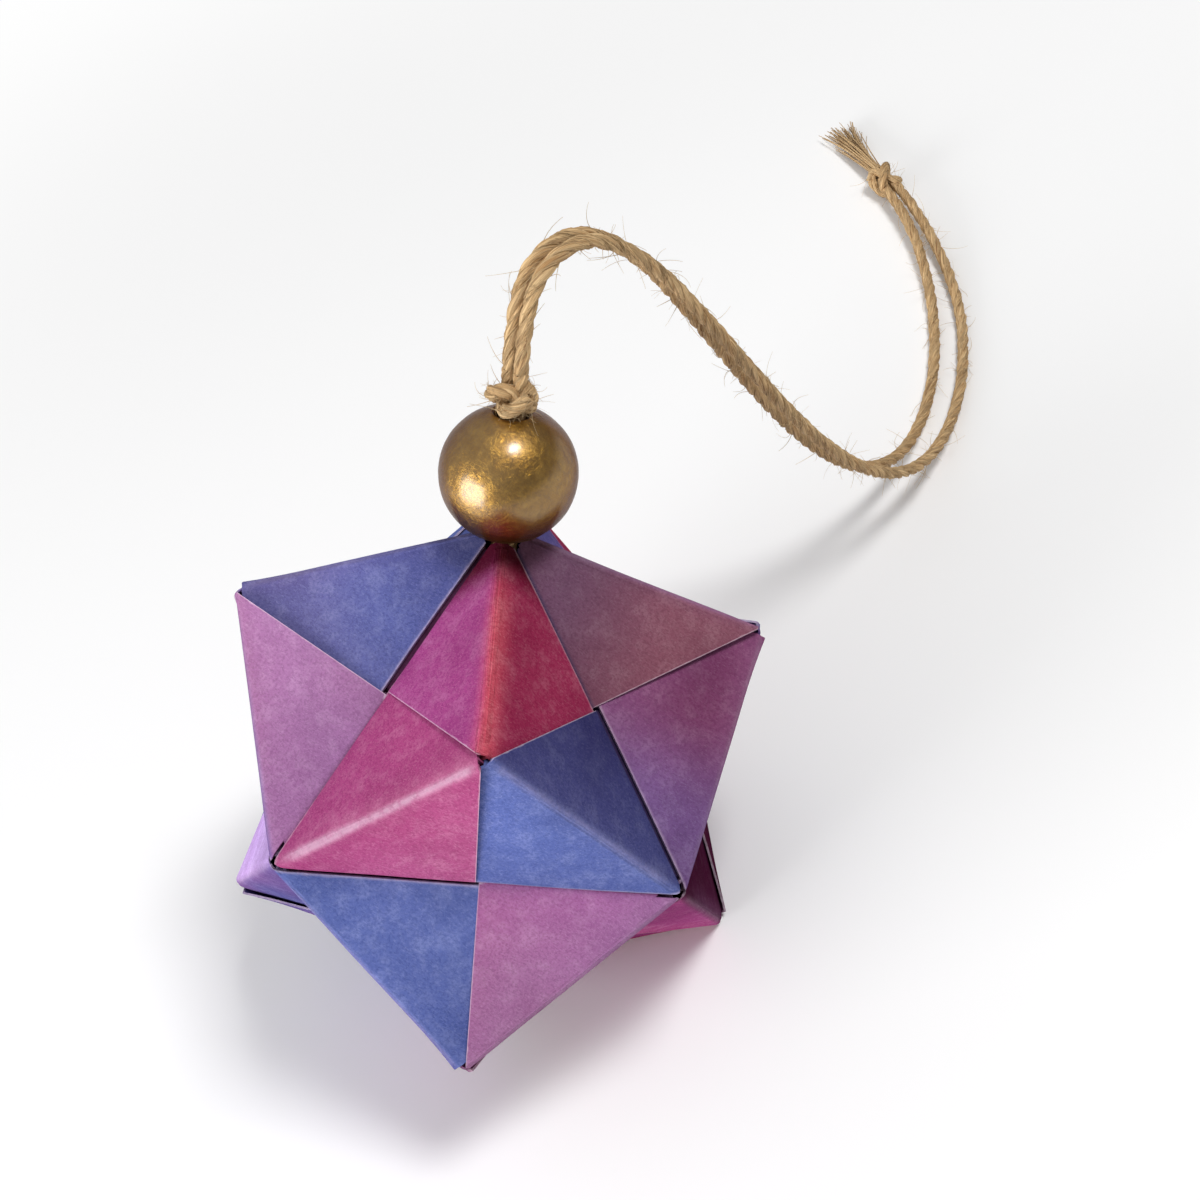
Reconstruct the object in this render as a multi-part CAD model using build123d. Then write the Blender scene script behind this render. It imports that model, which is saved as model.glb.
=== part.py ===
"""Modular folded paper ball: twelve interlocked sheets, a wooden bead and a knotted twine hanger.

The ball is an octahedron with a right-angled pyramid on each face. Every edge of the octahedron is the
valley of one folded sheet, whose two tabs slide into the pockets of its neighbours.
Millimetres, Z up. The ball rests on one vertex and two pyramid tips, with its bead leaning back to +Y.
"""
from build123d import *
import math
import os

# Folded sheets
paper_square = 75.0         # side of the square sheet that makes one unit
paper_thickness = 0.2
ply_clearance = 0.06        # air between the plies of two sheets
seam_gap = 0.15             # from the middle of a face to the cut edge of its door
tab_setback = 0.7           # from a valley to the folded edge of the tab beside it
door_turn = 0.55            # from a valley to where a door turns down into it
door_lap = 1.5              # flat stretch of a door that joins it to its step down
under_run_turn = 0.35       # from a valley to where that door lies flat on the far side
ridge_radius = 0.9          # outside of the soft fold along a ridge
tab_tip_cut = 3.5           # blunted far tip of a tab, inside its pocket
vertex_gap = 0.4            # half width of the opening where four units meet
hanger_hole_radius = 1.9    # opened vertex under the bead

# Bead
bead_diameter = 13.4
bead_bore = 3.4
bead_edge = 0.35            # rounding at both mouths of the bore
bead_seat_gap = 0.05        # under the bead, to the rim of paper that carries it

# Twine
twine_diameter = 1.5
leg_gap = 0.1               # between the two legs where they run together
bead_knot_diameter = 5.2
bead_knot_height = 4.2
stopper_diameter = 5.6
stopper_height = 4.0
stopper_gap = 0.3           # from the paper inside the vertex to the stopper knot
end_knot_diameter = 4.6
end_knot_length = 5.2
knot_rounding = 0.8
knot_seat_gap = 0.05        # from the bead to its knot
tail_length = 15.0
tail_start_diameter = 2.6
tail_end_diameter = 4.0
floor_gap = 0.05            # under twine and knots that lie on the floor

# Route of the hanger behind the ball: x, y, z and half the distance between the two legs
hanger_route = [
    (0.2, 25.2, 72.6, 0.9),
    (0.5, 31.2, 72.4, 0.9),
    (0.9, 36.6, 65.2, 1.0),
    (1.1, 41.0, 53.5, 1.2),
    (1.0, 45.6, 40.0, 1.5),
    (0.6, 51.0, 26.5, 1.6),
    (-0.4, 57.8, 14.5, 1.7),
    (-2.4, 66.3, 5.6, 1.8),
    (-5.8, 76.0, 1.4, 1.9),
    (-11.5, 86.5, 0.8, 1.9),
    (-20.5, 97.0, 0.8, 1.7),
    (-32.6, 106.2, 2.35, 0.8),
]
end_knot_place = (-39.2, 109.3)     # middle of the knot's face that the legs enter
first_run = 4.5                     # straight out of the bead knot
arc_share = 0.45                    # of the shorter run beside a corner, for the arc at the corner

# How the resting lean of the ball is found
edge_shares = [step / 8 for step in range(9)]   # points tried along each edge of the paper
tip_zone = (0.5, 0.8)                           # heights of the pyramid tips, as shares of a ridge
lean_range = (10.0, 45.0)                       # degrees
lean_steps = 40

# Worked out sizes
valley = paper_square / 2
half_valley = valley / 2
ridge = valley / math.sqrt(2)
half_ridge = ridge / 2
base_out = paper_thickness
under_run_out = base_out + paper_thickness
tab_in = under_run_out + ply_clearance
tab_middle = tab_in + paper_thickness
tab_out = tab_middle + paper_thickness
door_in = tab_out + ply_clearance
door_out = door_in + paper_thickness
reach = half_valley + 3 * door_out
bead_radius = bead_diameter / 2
leg_offset = (twine_diameter + leg_gap) / 2

# Each face rises from the tangent plane at its valley by an angle whose sine is a third
sin_rise = 1 / 3
cos_rise = math.sqrt(1 - sin_rise**2)

# Directions of one unit: valley along Y, ball's centre below along Z, own ridge at upper right
up_face = Vector(cos_rise, 0, sin_rise)
face_normal = Vector(-sin_rise, 0, cos_rise)
over_ridge = (up_face + Vector(0, 1, 0)).normalized()
over_far_ridge = (up_face - Vector(0, 1, 0)).normalized()
over_left_ridge = Vector(-cos_rise, 1, sin_rise).normalized()
to_tab_edge = -(over_far_ridge + face_normal).normalized()
past_vertex = Vector(0, 1, -1).normalized()
apex = up_face * half_valley


def trim(solid, normal, distance):
    """Cut away what lies past a plane at this distance from the middle of the valley."""
    return split(solid, bisect_by=Plane(normal * distance, z_dir=normal), keep=Keep.BOTTOM)


def section_point(side, along, height):
    """Point of a unit's cross-section: along a face from the valley, and out from its inner side."""
    return (side * (along * cos_rise - height * sin_rise), along * sin_rise + height * cos_rise)


def base_half():
    """Inner ply on the right face, up to the fold over its own ridge."""
    outline = Polyline(
        (0, 0),
        section_point(1, reach, 0),
        section_point(1, reach, base_out),
        (0, base_out / cos_rise),
        close=True,
    )
    ply = extrude(Plane.XZ * make_face(outline), amount=valley, both=True)
    ply = trim(ply, over_ridge, half_ridge + tab_middle)
    return trim(ply, over_far_ridge, half_ridge - ply_clearance)


def valley_ply():
    """Outer ply where it leaves its door, steps down into the valley and runs under the tab on the left."""
    middle = paper_thickness / 2
    path = Polyline(
        section_point(1, door_turn + door_lap, door_in + middle),
        section_point(1, door_turn, door_in + middle),
        section_point(-1, under_run_turn, base_out + middle),
        section_point(-1, reach, base_out + middle),
    )
    outline = offset(path, amount=middle, kind=Kind.INTERSECTION, side=Side.BOTH)
    ply = extrude(Plane.XZ * make_face(outline), amount=half_valley - seam_gap, dir=(0, 1, 0))
    ply = trim(Pos(0, seam_gap, 0) * ply, over_ridge, half_ridge - ridge_radius)
    return trim(ply, over_left_ridge, half_ridge - ply_clearance)


def ridge_fold():
    """Outer ply of the door and the tab, one sheet bent softly over the ridge."""
    middle = paper_thickness / 2
    path = FilletPolyline(
        (-half_ridge, door_in + middle),
        (tab_middle + middle, door_in + middle),
        (tab_middle + middle, tab_tip_cut - ridge),
        radius=ridge_radius - middle,
    )
    outline = offset(path, amount=middle, kind=Kind.INTERSECTION, side=Side.BOTH)
    section = Plane(apex, x_dir=over_ridge, z_dir=over_far_ridge)
    fold = extrude(section * make_face(outline), amount=-reach - half_valley)
    fold = trim(fold, Vector(0, -1, 0), -seam_gap)
    fold = trim(fold, -up_face, -door_turn)
    return trim(fold, to_tab_edge, half_valley / 2 - tab_setback)


def tab_lining():
    """Inner ply of the tab, folded back from the base. Sketch: X up the ridge, Y down the face."""
    hypotenuse = ridge - tab_setback * math.sqrt(2)
    deep = ridge - tab_tip_cut
    outline = Polyline(
        (0, -base_out),
        (-hypotenuse - base_out, -base_out),
        (-hypotenuse + deep, deep),
        (0, deep),
        close=True,
    )
    plane = Plane(apex + over_ridge * tab_in, x_dir=over_far_ridge, z_dir=over_ridge)
    return extrude(plane * make_face(outline), amount=paper_thickness)


def paper_unit():
    """One folded sheet: both halves are the same, turned half a turn about the middle of the valley."""
    half = base_half() + tab_lining() + ridge_fold() + valley_ply()
    unit = half + Rot(0, 0, 180) * half
    for end in (1, -1):
        unit = trim(unit, Vector(0, end * past_vertex.Y, past_vertex.Z), half_ridge - vertex_gap)
    return unit


def unit_places():
    """Planes of the twelve valleys, on an octahedron with its vertices on the axes."""
    axes = (Vector(1, 0, 0), Vector(0, 1, 0), Vector(0, 0, 1))
    places = []
    for first, second in ((0, 1), (1, 2), (2, 0)):
        for sign, other in ((1, 1), (1, -1), (-1, 1), (-1, -1)):
            start = axes[first] * sign
            finish = axes[second] * other
            outward = (start + finish).normalized()
            along = (finish - start).normalized()
            places.append(Plane(outward * half_valley, x_dir=along.cross(outward), z_dir=outward))
    return places


def paper_ball():
    """The twelve units, with the vertex on +Z opened for the twine."""
    unit = paper_unit()
    hole = Pos(0, 0, ridge) * Cylinder(hanger_hole_radius, ridge)
    return [place * unit - hole for place in unit_places()]


def edge_points(ball):
    """Points along every edge of the folded sheets."""
    edges = [edge for unit in ball for edge in unit.edges()]
    return [tuple(edge.position_at(share)) for edge in edges for share in edge_shares]


def lean_to_rest(points):
    """Angle about X that levels the lowest vertex with the two pyramid tips behind it, and the height then."""
    def lowest(group, angle):
        return min(z * math.cos(angle) - y * math.sin(angle) for x, y, z in group)

    lower, upper = -tip_zone[1] * ridge, -tip_zone[0] * ridge
    vertex_tip = [p for p in points if p[2] < lower]
    pyramid_tips = [p for p in points if p[1] > -upper and lower < p[2] < upper]
    low, high = (math.radians(degrees) for degrees in lean_range)
    for step in range(lean_steps):
        angle = (low + high) / 2
        if lowest(vertex_tip, angle) < lowest(pyramid_tips, angle):
            low = angle
        else:
            high = angle
    return angle, -lowest(points, angle)


def bead_centre_height(points):
    """Where a sphere on the Z axis comes to rest on the rim of paper round the opened vertex."""
    heights = []
    for x, y, z in points:
        off_axis = math.hypot(x, y)
        if z > 0 and off_axis < bead_radius:
            heights.append(z + math.sqrt(bead_radius**2 - off_axis**2))
    return max(heights) + bead_seat_gap


def wooden_bead():
    bead = Sphere(bead_radius) - Cylinder(bead_bore / 2, 2 * bead_diameter)
    return fillet(bead.edges().filter_by(GeomType.CIRCLE), bead_edge)


def knot(diameter, height):
    """Plain lump of a tight knot, standing on its flat end."""
    lump = Pos(0, 0, height / 2) * Cylinder(diameter / 2, height)
    return fillet(lump.edges().filter_by(GeomType.CIRCLE), knot_rounding)


def twine_run(start, finish):
    """Straight twine along Z between two knots."""
    return Pos(0, 0, (start + finish) / 2) * Cylinder(twine_diameter / 2, finish - start)


def corner_radii(points):
    """Arc at each corner of a route, as large as its two runs allow."""
    radii = []
    for before, corner, after in zip(points, points[1:], points[2:]):
        turn = math.radians((corner - before).get_angle(after - corner))
        shorter = min((corner - before).length, (after - corner).length)
        radii.append(arc_share * shorter / math.tan(turn / 2))
    return radii


def leg_points(side, start, axis, knot_height):
    """One leg's route: out of the bead knot, over behind the ball, along the floor to the end knot."""
    route = [(Vector(*spot[:3]), spot[3]) for spot in hanger_route]
    finish = Vector(*end_knot_place, knot_height)
    route = [(start, leg_offset), (start + axis * first_run, leg_offset)] + route + [(finish, leg_offset)]
    points = []
    for index, (spot, spread) in enumerate(route):
        before = route[max(index - 1, 0)][0]
        after = route[min(index + 1, len(route) - 1)][0]
        if index <= 1:
            before, after = start, start + axis
        if index >= len(route) - 2:
            before, after = route[-2][0], finish
        heading = after - before
        aside = Vector(heading.Y, -heading.X, 0).normalized()
        points.append(spot + aside * (side * spread))
    return points


def hanger_leg(points):
    radii = corner_radii(points)
    path = FilletPolyline(*points, radius=radii)
    section = Plane(points[0], z_dir=points[1] - points[0]) * Circle(twine_diameter / 2)
    leg = sweep(section, path=path)
    expected = path.length * math.pi * twine_diameter**2 / 4
    print("leg length", round(path.length, 1), "volume share", round(leg.volume / expected, 4))
    print("radii", [round(radius, 1) for radius in radii])
    return leg


def frayed_tail(start, heading):
    """Brush of loose fibre past the end knot, sagging to the floor."""
    finish = start + heading * tail_length
    finish = Vector(finish.X, finish.Y, tail_end_diameter / 2 + floor_gap)
    near = Plane(start, z_dir=heading) * Circle(tail_start_diameter / 2)
    far = Plane(finish, z_dir=heading) * Circle(tail_end_diameter / 2)
    return loft([near, far])


def main():
    ball = paper_ball()
    outline = edge_points(ball)
    lean, height = lean_to_rest(outline)
    at_rest = Pos(0, 0, height) * Rot(-math.degrees(lean), 0, 0)
    axis = Vector(0, math.sin(lean), math.cos(lean))

    pieces = {}
    for number, unit in enumerate(ball, start=1):
        pieces[f"paper_unit_{number:02d}"] = at_rest * unit

    bead_height = bead_centre_height(outline)
    mouth = math.sqrt(bead_radius**2 - (bead_bore / 2 + bead_edge) ** 2)
    knot_foot = bead_height + mouth + knot_seat_gap
    stopper_top = ridge - stopper_diameter / 2 - stopper_gap
    stopper_place = Pos(0, 0, stopper_top - stopper_height)
    pieces["bead"] = at_rest * Pos(0, 0, bead_height) * wooden_bead()
    pieces["bead_knot"] = at_rest * Pos(0, 0, knot_foot) * knot(bead_knot_diameter, bead_knot_height)
    pieces["stopper_knot"] = at_rest * stopper_place * knot(stopper_diameter, stopper_height)

    leg_start = Vector(0, 0, height) + axis * (knot_foot + bead_knot_height)
    end_knot_height = end_knot_diameter / 2 + floor_gap
    entry = Vector(*end_knot_place, end_knot_height)
    heading = entry - Vector(*hanger_route[-1][:2], end_knot_height)
    heading = heading.normalized()
    for name, side in (("left", -1), ("right", 1)):
        run = Pos(side * leg_offset, 0, 0) * twine_run(stopper_top, knot_foot)
        pieces[f"twine_run_{name}"] = at_rest * run
        pieces[f"hanger_leg_{name}"] = hanger_leg(leg_points(side, leg_start, axis, end_knot_height))
    pieces["end_knot"] = Plane(entry, z_dir=heading) * knot(end_knot_diameter, end_knot_length)
    pieces["frayed_tail"] = frayed_tail(entry + heading * end_knot_length, heading)

    print("lean", round(math.degrees(lean), 3), "height", round(height, 3), "bead", round(bead_height, 3))
    os.makedirs("parts", exist_ok=True)
    for name, solid in pieces.items():
        export_step(solid, f"parts/{name}.step")


if __name__ == "__main__":
    main()
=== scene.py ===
"""Looks of a folded paper ball with a gold bead and a knotted twine hanger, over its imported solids."""
import math
import random

import bmesh
import bpy
from mathutils import Matrix, Vector, noise


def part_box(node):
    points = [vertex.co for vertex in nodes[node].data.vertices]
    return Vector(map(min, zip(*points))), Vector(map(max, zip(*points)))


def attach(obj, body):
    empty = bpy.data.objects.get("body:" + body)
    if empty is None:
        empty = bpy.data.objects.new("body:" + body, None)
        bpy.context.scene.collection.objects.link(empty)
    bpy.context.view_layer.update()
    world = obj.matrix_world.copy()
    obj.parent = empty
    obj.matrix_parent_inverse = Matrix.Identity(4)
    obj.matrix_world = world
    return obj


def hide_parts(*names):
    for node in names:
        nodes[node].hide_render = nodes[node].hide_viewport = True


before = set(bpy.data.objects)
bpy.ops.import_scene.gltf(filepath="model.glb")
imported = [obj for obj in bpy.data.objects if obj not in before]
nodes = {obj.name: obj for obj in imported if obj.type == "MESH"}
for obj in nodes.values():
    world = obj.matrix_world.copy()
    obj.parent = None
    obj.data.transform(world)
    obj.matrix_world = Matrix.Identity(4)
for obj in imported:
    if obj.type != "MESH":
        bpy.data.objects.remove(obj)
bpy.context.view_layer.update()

scene = bpy.context.scene
mm = 0.001
full_turn = 2 * math.pi

# Edges sharper than this stay sharp
paper_smooth = math.radians(24)
bead_smooth = math.radians(40)
twine_smooth = math.radians(50)

# Sizes of the folded sheets, as in the part's source
paper_square = 75 * mm
seam_gap = 0.15 * mm
tab_setback = 0.7 * mm
tab_in = 0.46 * mm
tab_out = 0.86 * mm
door_in = 0.92 * mm
door_out = 1.12 * mm
half_valley = paper_square / 4
ridge = paper_square / 2 / math.sqrt(2)
half_ridge = ridge / 2
lean = math.atan(0.5)
ply_margin = 0.04 * mm      # a point this far below a ply still belongs to it

# Directions of one unit: valley along Y, ball's centre below along Z
up_face = Vector((math.sqrt(8) / 3, 0, 1 / 3))
face_normal = Vector((-1 / 3, 0, math.sqrt(8) / 3))
over_ridge = (up_face + Vector((0, 1, 0))).normalized()
over_far_ridge = (up_face - Vector((0, 1, 0))).normalized()
to_tab_edge = -(over_far_ridge + face_normal).normalized()
tab_edge_at = half_ridge / math.sqrt(2) - tab_setback

# Cuts that divide the panels, in mm: away from a ridge, along it, and beside the two kinds of cut edge
ridge_cuts = [0.7, 1.0, 1.4, 1.9, 2.5, 3.3, 4.3, 5.6, 7.2, *range(9, 27, 2)]
along_cuts = [step * 1.5 for step in range(1, 18)]
door_edge_cuts = (0.12, 0.5)
tab_edge_cuts = (0.3, 0.9)

# How handled paper swells between its folds, wavers, and lifts beside its seams
swell_mean = 0.16 * mm
swell_spread = 0.22 * mm
swell_grain = 3.7
full_swell = 27             # makes the product of three equal shares 1
waver_depth = 0.07 * mm
waver_grain = 9 * mm
door_lift_reach = 5 * mm
tab_lift_reach = 9 * mm
tab_lift_middle = -0.2      # along the far ridge, as a share of its half
tab_lift_width = 1.3
usual_tab_lift = 0.18       # in mm, as the seams' own lifts are

# How the dyes run and wear, and the shade and highlights painted into them
cloud_grain = 11 * mm
cloud_depth = 0.9
cloud_shift = 0.8           # how far a cloud moves the wash between ridge and valley
cloud_tone = 0.22
wash_tone = 1.01
wash_reach = 12 * mm
fold_from = -0.5 * mm
fold_to = 0.9 * mm
# Painted shade: the inside ply, seen only down the seams' gaps, is darkened to this share of its tab's dye
inside_painted_shade = 0.35
# Band along each ridge fold: partly the dye's change at the fold, partly painted highlight on the rounded
# ridge
ridge_band_at = -0.3 * mm
ridge_band_to_door = 1.2 * mm
ridge_band_to_tab = 1.6 * mm
# Pale band along a fold: partly wear that bares the paper's white core, partly painted highlight on the
# rounded ridge
wear_and_highlight_width = 0.5 * mm
door_edge_width = 0.10 * mm
door_edge_pale = 0.6
tab_edge_width = 0.25 * mm
tab_edge_pale = 0.4

# Bead
bead_radius = 6.7 * mm
bead_bore = 3.4 * mm
bead_edge = 0.35 * mm
bore_lip = ((0.93, 0.06), (0.90, 0.16), (0.95, 0.35))      # narrowing and depth in mm of each step in
bead_rim = 0.4 * mm
bead_shrink = 0.03 * mm
bead_dents = ((3.1 * mm, 0.05 * mm), (1.0 * mm, 0.012 * mm))   # grain and depth

# Twine
twine_diameter = 1.5 * mm
twine_pitch = 6.5 * mm
twine_step = 0.33 * mm
inner_pitch = 6 * mm
inner_step = 0.35 * mm
inner_foot = 24 * mm        # from the ball's centre
knot_pitch = 5 * mm
knot_step = 0.22 * mm
knot_seat_gap = 0.05 * mm
leg_offset = 0.8 * mm
first_run = 4.5 * mm
bead_knot_height = 4.2 * mm
end_knot_length = 5.2 * mm
tail_length = 15 * mm
tail_fibres = 120
leg_hairs = 260
sides = {"left": -1, "right": 1}

# Plies and single fibres of twine, as shares of its diameter
ply_out = 0.20
ply_out_spread = 0.04
ply_radius = 0.275
ply_radius_spread = 0.035
wisp_out = 0.395
wisp_over_ply = 0.075
wisp_spread = 0.03
wisp_drift = 0.3            # in turns round the twine
hair_root = 0.42

# Route of the hanger behind the ball in mm: x, y, z and half the distance between the two legs
hanger_route = [
    (0.2, 25.2, 72.6, 0.9),
    (0.5, 31.2, 72.4, 0.9),
    (0.9, 36.6, 65.2, 1.0),
    (1.1, 41.0, 53.5, 1.2),
    (1.0, 45.6, 40.0, 1.5),
    (0.6, 51.0, 26.5, 1.6),
    (-0.4, 57.8, 14.5, 1.7),
    (-2.4, 66.3, 5.6, 1.8),
    (-5.8, 76.0, 1.4, 1.9),
    (-11.5, 86.5, 0.8, 1.9),
    (-20.5, 97.0, 0.8, 1.7),
    (-32.6, 106.2, 2.35, 0.8),
]
end_knot_entry = Vector((-39.2, 109.3, 2.35)) * mm

# White room round the part, and how much of it shows in the bead
room_white = 1.0
bead_glimpse = 0.2

# The ball's own frame: the vertex that carries the bead is on +Z
paper_nodes = [f"paper_unit_{number:02d}" for number in range(1, 13)]
paper_corners = [corner for name in paper_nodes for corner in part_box(name)]
paper_top = max(corner.z for corner in paper_corners)
paper_foot = min(corner.z for corner in paper_corners)
ball_height = (paper_top + paper_foot) / 2
ball_turn = Matrix.Rotation(-lean, 4, "X")
ball_place = Matrix.Translation((0, 0, ball_height)) @ ball_turn
bead_axis = Vector((0, math.sin(lean), math.cos(lean)))


def linear(red, green, blue):
    """A colour as a screen shows it, 0 to 255, turned into light."""
    light = []
    for shown in (red, green, blue):
        share = shown / 255
        light.append(share / 12.92 if share <= 0.04045 else ((share + 0.055) / 1.055) ** 2.4)
    return Vector((*light, 1.0))


class Socket:
    """One output of a material's nodes, which takes part in plain sums."""

    def __init__(self, tree, output=None):
        self.tree = tree
        self.output = output

    def node(self, kind, settings=None, values=None, out=0):
        """Adds a node, with its settings first and then numbers or links for its inputs."""
        made = self.tree.nodes.new(kind)
        for name, value in (settings or {}).items():
            setattr(made, name, value)
        for name, value in (values or {}).items():
            if isinstance(value, Socket):
                self.tree.links.new(value.output, made.inputs[name])
            else:
                made.inputs[name].default_value = value
        return Socket(self.tree, made.outputs[out]) if made.outputs else made

    def sum(self, operation, first, second):
        return self.node("ShaderNodeMath", {"operation": operation}, {0: first, 1: second})

    def __add__(self, other):
        return self.sum("ADD", self, other)

    def __radd__(self, other):
        return self.sum("ADD", other, self)

    def __sub__(self, other):
        return self.sum("SUBTRACT", self, other)

    def __rsub__(self, other):
        return self.sum("SUBTRACT", other, self)

    def __mul__(self, other):
        return self.sum("MULTIPLY", self, other)

    def __rmul__(self, other):
        return self.sum("MULTIPLY", other, self)

    def fade(self, start, finish, low=0.0, high=1.0):
        """Goes from low to high as this value goes from start to finish."""
        values = {"Value": self, "From Min": start, "From Max": finish, "To Min": low, "To Max": high}
        return self.node("ShaderNodeMapRange", {"interpolation_type": "SMOOTHSTEP"}, values)

    def mix(self, first, second):
        """Two colours, mixed by this value, on a Mix node's colour sockets: 6 and 7 in, 2 out."""
        settings = {"data_type": "RGBA", "clamp_factor": True}
        return self.node("ShaderNodeMix", settings, {0: self, 6: first, 7: second}, 2)

    def dye(self, saturation, value):
        """This colour, made stronger or weaker and lighter or darker."""
        values = {"Color": self, "Saturation": saturation, "Value": value}
        return self.node("ShaderNodeHueSaturation", None, values)

    def grain(self, scale, detail=2.0, roughness=0.5, distortion=0.0):
        """Noise on this vector."""
        values = {"Vector": self, "Scale": scale, "Detail": detail}
        values.update({"Roughness": roughness, "Distortion": distortion})
        return self.node("ShaderNodeTexNoise", None, values)

    def stretch(self, scale, turn=(0, 0, 0)):
        """This vector, turned and scaled along each axis."""
        values = {"Vector": self, "Rotation": turn, "Scale": scale}
        return self.node("ShaderNodeMapping", {"vector_type": "TEXTURE"}, values)

    def bump(self, strength, distance):
        """The surface's normal, bent by this height."""
        values = {"Height": self, "Strength": strength, "Distance": distance}
        return self.node("ShaderNodeBump", None, values)

    def towards(self, operation, spot):
        """This vector's distance from a spot, or its product with it."""
        return self.node("ShaderNodeVectorMath", {"operation": operation}, {0: self, 1: spot}, "Value")


def new_finish(name):
    """A material without nodes, and a socket to start its nodes from."""
    material = bpy.data.materials.new(name)
    material.use_nodes = True
    material.node_tree.nodes.clear()
    return material, Socket(material.node_tree)


def close_finish(start, shader):
    start.node("ShaderNodeOutputMaterial", None, {"Surface": shader})


def dyed_paper(name, fibre_scale, cloud):
    """Matte dyed paper: the sheet's own colours, painted shade and highlights included, clouded, with
    felt-like fibre, pale cuts, and pale folds that are partly painted highlight.
    """
    material, start = new_finish(name)
    place = start.node("ShaderNodeTexCoord", out="Object")
    dye_and_painted_light = start.node("ShaderNodeAttribute", {"attribute_name": "dye_and_painted_light"})
    pale = start.node("ShaderNodeAttribute", {"attribute_name": "pale"}, out="Fac")
    clouds = place.grain(520, detail=5.0, roughness=0.66, distortion=0.25).fade(0.44, 0.68)
    patches = place.grain(140, detail=3.0, roughness=0.55, distortion=0.4).fade(0.42, 0.68)
    felt = place.grain(fibre_scale, detail=4.0, roughness=0.75, distortion=0.2)
    down = place.stretch((1.0, 0.25, 0.55), turn=(0.4, 0.7, 0.3))
    down = down.grain(fibre_scale * 0.7, detail=3.0, roughness=0.7, distortion=0.1)
    lint = place.stretch((0.3, 1.0, 0.6), turn=(1.1, 0.2, 0.8))
    lint = lint.grain(fibre_scale * 0.9, detail=2.0, roughness=0.6, distortion=0.1)
    scuff = place.grain(1500, detail=4.0, roughness=0.7).fade(0.32, 0.58, 0.55, 1.0)
    lighter = dye_and_painted_light.dye(saturation=0.78, value=1.42)
    darker = dye_and_painted_light.dye(saturation=1.06, value=0.62)
    paper_core_and_highlight = linear(231, 209, 227)
    colour = (clouds * cloud).mix(dye_and_painted_light, lighter)
    colour = (patches * 0.34).mix(colour, darker)
    colour = felt.fade(0.36, 0.58, 0.55, 0.0).mix(colour, darker)
    colour = down.fade(0.52, 0.68, 0.0, 0.40).mix(colour, lighter)
    colour = lint.fade(0.58, 0.74, 0.0, 0.25).mix(colour, lighter)
    # Pale cut edges bare the paper's white core; the pale band along the folds is partly wear, partly
    # painted highlight
    colour = (pale * scuff).mix(colour, paper_core_and_highlight)
    height = felt * 0.6 + down * 0.6 + lint * 0.4
    values = {
        "Base Color": colour,
        "Roughness": felt.fade(0.3, 0.7, 0.82, 0.96),
        "Normal": height.bump(strength=0.45, distance=0.07 * mm),
        "Specular IOR Level": 0.0,
    }
    close_finish(start, start.node("ShaderNodeBsdfPrincipled", None, values))
    return material


def gilded_wood():
    """Satin gold paint over a brown turned bead: fine crackle, thin places, a wrinkled skin."""
    material, start = new_finish("gilded_wood")
    place = start.node("ShaderNodeTexCoord", out="Object")
    crackle = place.grain(1900, detail=4.0, roughness=0.65, distortion=0.6)
    dapple = place.grain(700, detail=3.0, roughness=0.6, distortion=0.8)
    thin = place.grain(230, detail=4.0, roughness=0.6, distortion=0.5).fade(0.55, 0.75)
    wrinkle = place.grain(1250, detail=5.0, roughness=0.72, distortion=1.1)
    deep_gold = linear(141, 103, 33)
    bright_gold = linear(157, 119, 47)
    crackle_brown = linear(88, 58, 20)
    wood_brown = linear(80, 48, 16)
    colour = dapple.fade(0.35, 0.65).mix(deep_gold, bright_gold)
    colour = crackle.fade(0.38, 0.56, 0.22, 0.0).mix(colour, crackle_brown)
    colour = (thin * 0.28).mix(colour, wood_brown)
    height = crackle * 0.5 + dapple * 0.6 + wrinkle
    values = {
        "Base Color": colour,
        "Roughness": crackle.fade(0.35, 0.65, 0.40, 0.30) + thin * 0.08,
        "Normal": height.bump(strength=0.55, distance=0.16 * mm),
        "Metallic": 1.0,
        "Specular Tint": linear(120, 86, 44),
        "Coat Weight": 0.5,
        "Coat Roughness": 0.24,
        "Coat IOR": 2.15,
    }
    close_finish(start, start.node("ShaderNodeBsdfPrincipled", None, values))
    return material


def jute_twine():
    """Hairy tan jute: streaks of fibre along the lay, painted shade between the strands, pale loose hairs.
    """
    material, start = new_finish("jute_twine")
    lay = start.node("ShaderNodeAttribute", {"attribute_name": "lay"}, out="Vector")
    loose = start.node("ShaderNodeAttribute", {"attribute_name": "loose"}, out="Fac")
    fibre = lay.stretch((5.0, 0.30, 0.30)).grain(1.0, detail=3.0, roughness=0.65)
    strands = lay.stretch((9.0, 0.75, 0.75)).grain(1.0)
    blotch = lay.stretch((6.0, 3.0, 3.0)).grain(1.0)
    brown_jute = linear(163, 124, 80)
    straw_jute = linear(227, 194, 145)
    painted_strand_shade = linear(102, 71, 42)
    bleached = linear(231, 204, 159)
    loose_hair = linear(206, 178, 136)
    colour = fibre.fade(0.34, 0.66).mix(brown_jute, straw_jute)
    # Painted shade between the strands
    colour = strands.fade(0.36, 0.52, 0.60, 0.0).mix(colour, painted_strand_shade)
    colour = blotch.fade(0.45, 0.75, 0.0, 0.35).mix(colour, bleached)
    colour = loose.mix(colour, loose_hair)
    height = fibre * 0.7 + strands
    values = {
        "Base Color": colour,
        "Normal": height.bump(strength=0.8, distance=0.12 * mm),
        "Roughness": 0.82,
        "Specular IOR Level": 0.3,
    }
    close_finish(start, start.node("ShaderNodeBsdfPrincipled", None, values))
    return material


def select_only(piece):
    bpy.ops.object.select_all(action="DESELECT")
    piece.select_set(True)
    bpy.context.view_layer.objects.active = piece


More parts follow.
